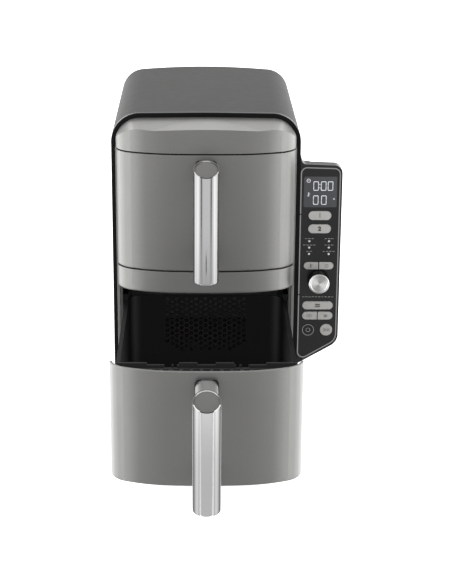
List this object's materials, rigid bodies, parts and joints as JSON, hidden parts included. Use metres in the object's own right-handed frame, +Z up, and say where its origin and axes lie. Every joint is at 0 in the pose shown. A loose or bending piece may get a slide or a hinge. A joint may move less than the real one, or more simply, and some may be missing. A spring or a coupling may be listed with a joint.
{
  "type": "air fryer",
  "caption": "Free-standing air fryer with stacked sliding drawers, upright tube handles and a side control panel with dial, keys and display.",
  "frame": {"origin": "middle of the bottom of the bounding box with the lower drawer standing open 250 mm, on the table plane", "axes": "+Z up, -Y towards the user (the drawers slide out towards -Y), +X to the user's right, where the control panel is"},
  "size_m": [0.28, 0.662, 0.3872],
  "materials": {
    "shell_grey": "satin moulded",
    "front_grey": "satin painted",
    "bezel_black": "gloss",
    "inner_black": "matte",
    "handle_steel": "polished",
    "silver_trim": "satin",
    "key_grey": "satin",
    "key_black": "satin",
    "dial_aluminium": "spun",
    "nonstick": "non-stick coating",
    "oven_steel": "heat resistant paint",
    "fan_aluminium": "mill",
    "plain_steel": "mill",
    "motor_enamel": "plated",
    "silicone": "matte",
    "circuit_board": "solder mask",
    "display_smoke": "smoked",
    "lamp_white": "diffuse"
  },
  "bodies": {
    "housing": {"back_panel": "inner_black", "base_tray": "front_grey", "control_board": "circuit_board", "cord_gland": "inner_black", "dial_encoder": "inner_black", "display_window": "display_smoke", "feet": "silicone", "front_bezel": "bezel_black", "housing_screws": "plain_steel", "inner_lip": "front_grey", "interlock_switches": "inner_black", "lower_fan_guard": "oven_steel", "lower_heater": "plain_steel", "lower_liner": "oven_steel", "lower_motor": "motor_enamel", "mid_strip": "front_grey", "mode_lights": "lamp_white", "motor_plate": "oven_steel", "outer_shell": "shell_grey", "panel_fascia": "bezel_black", "panel_housing": "bezel_black", "panel_trim": "silver_trim", "power_board": "circuit_board", "slide_rails": "inner_black", "temperature_sensors": "plain_steel", "top_fascia": "front_grey", "upper_fan_guard": "oven_steel", "upper_heater": "plain_steel", "upper_liner": "oven_steel", "upper_motor": "motor_enamel"},
    "upper_drawer": {"upper_drawer_front": "front_grey", "upper_drawer_bracket": "inner_black", "upper_basket": "nonstick", "upper_handle_tube": "handle_steel", "upper_handle_cap": "front_grey", "upper_handle_posts": "front_grey"},
    "upper_crisper": {"upper_crisper_plate": "nonstick", "upper_crisper_bumpers": "silicone"},
    "upper_fan_rotor": {"upper_fan": "fan_aluminium", "upper_fan_shaft": "plain_steel"},
    "lower_drawer": {"lower_drawer_front": "front_grey", "lower_drawer_bracket": "inner_black", "lower_basket": "nonstick", "lower_handle_tube": "handle_steel", "lower_handle_cap": "front_grey", "lower_handle_posts": "front_grey"},
    "lower_crisper": {"lower_crisper_plate": "nonstick", "lower_crisper_bumpers": "silicone"},
    "lower_fan_rotor": {"lower_fan": "fan_aluminium", "lower_fan_shaft": "plain_steel"},
    "dial": {"dial_knob": "dial_aluminium"},
    "button_match_key": {"button_match": "key_grey"},
    "button_power_key": {"button_power": "key_black"},
    "button_stack_key": {"button_stack": "key_grey"},
    "button_start_stop_key": {"button_start_stop": "key_grey"},
    "button_sync_key": {"button_sync": "key_grey"},
    "button_temperature_key": {"button_temperature": "key_grey"},
    "button_time_key": {"button_time": "key_grey"},
    "button_zone_1_key": {"button_zone_1": "key_grey"},
    "button_zone_2_key": {"button_zone_2": "key_grey"}
  },
  "joints": [
    {"name": "upper_drawer_slide", "type": "slide", "parent": "housing", "child": "upper_drawer", "axis": [0, -1, 0], "range_m": [0, 0.29]},
    {"name": "lower_drawer_slide", "type": "slide", "parent": "housing", "child": "lower_drawer", "axis": [0, -1, 0], "range_m": [-0.25, 0.04]},
    {"name": "upper_crisper_lift", "type": "slide", "parent": "upper_drawer", "child": "upper_crisper", "axis": [0, 0, 1], "range_m": [0, 0.085]},
    {"name": "lower_crisper_lift", "type": "slide", "parent": "lower_drawer", "child": "lower_crisper", "axis": [0, 0, 1], "range_m": [0, 0.085]},
    {"name": "upper_fan_spin", "type": "hinge", "parent": "housing", "child": "upper_fan_rotor", "pos_m": [-0.0257, 0.286, 0.297], "axis": [0, 1, 0], "continuous": true},
    {"name": "lower_fan_spin", "type": "hinge", "parent": "housing", "child": "lower_fan_rotor", "pos_m": [-0.0257, 0.286, 0.121], "axis": [0, 1, 0], "continuous": true},
    {"name": "dial_turn", "type": "hinge", "parent": "housing", "child": "dial", "pos_m": [0.1134, 0.016, 0.1752], "axis": [0, 1, 0], "continuous": true},
    {"name": "match_press", "type": "slide", "parent": "housing", "child": "button_match_key", "axis": [0, 1, 0], "range_m": [0, 0.001], "stiffness_N_per_m": 800},
    {"name": "power_press", "type": "slide", "parent": "housing", "child": "button_power_key", "axis": [0, 1, 0], "range_m": [0, 0.001], "stiffness_N_per_m": 800},
    {"name": "stack_press", "type": "slide", "parent": "housing", "child": "button_stack_key", "axis": [0, 1, 0], "range_m": [0, 0.001], "stiffness_N_per_m": 800},
    {"name": "start_stop_press", "type": "slide", "parent": "housing", "child": "button_start_stop_key", "axis": [0, 1, 0], "range_m": [0, 0.001], "stiffness_N_per_m": 800},
    {"name": "sync_press", "type": "slide", "parent": "housing", "child": "button_sync_key", "axis": [0, 1, 0], "range_m": [0, 0.001], "stiffness_N_per_m": 800},
    {"name": "temperature_press", "type": "slide", "parent": "housing", "child": "button_temperature_key", "axis": [0, 1, 0], "range_m": [0, 0.001], "stiffness_N_per_m": 800},
    {"name": "time_press", "type": "slide", "parent": "housing", "child": "button_time_key", "axis": [0, 1, 0], "range_m": [0, 0.001], "stiffness_N_per_m": 800},
    {"name": "zone_1_press", "type": "slide", "parent": "housing", "child": "button_zone_1_key", "axis": [0, 1, 0], "range_m": [0, 0.001], "stiffness_N_per_m": 800},
    {"name": "zone_2_press", "type": "slide", "parent": "housing", "child": "button_zone_2_key", "axis": [0, 1, 0], "range_m": [0, 0.001], "stiffness_N_per_m": 800}
  ]
}
